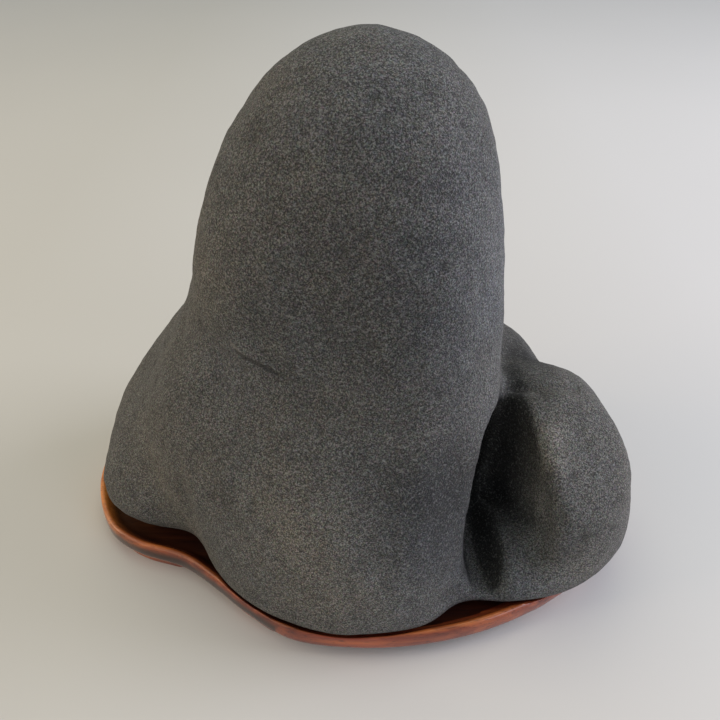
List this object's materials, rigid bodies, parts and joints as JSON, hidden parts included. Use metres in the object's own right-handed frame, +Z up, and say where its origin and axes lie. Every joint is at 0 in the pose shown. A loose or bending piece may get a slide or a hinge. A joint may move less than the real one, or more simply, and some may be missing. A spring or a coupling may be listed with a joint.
{
  "type": "viewing stone on a carved stand",
  "caption": "Dark fine-grained stone with a tall rounded tower, a low shoulder, a side lobe and a deep cleft, lying loose in a low lacquered wooden stand on glued feet.",
  "frame": {"origin": "on the table, under the middle of the whole object", "axes": "+Z up, -Y the front, +X to the right of somebody facing the front and along the longest side"},
  "size_m": [0.144, 0.0991, 0.125],
  "materials": {
    "stone": "dark grey, fine-grained, matt, water-worn",
    "lacquered_wood": "reddish-brown hardwood under clear gloss lacquer"
  },
  "bodies": {
    "stand": {"stand_board": "lacquered_wood", "foot_left": "lacquered_wood", "foot_front_left": "lacquered_wood", "foot_front_right": "lacquered_wood", "foot_back_right": "lacquered_wood", "foot_back_left": "lacquered_wood"},
    "stone": {"stone": "stone"}
  },
  "joints": [
    {"name": "stone_lift", "type": "slide", "parent": "stand", "child": "stone", "axis": [0, 0, 1], "range_m": [0, 0.03]}
  ]
}
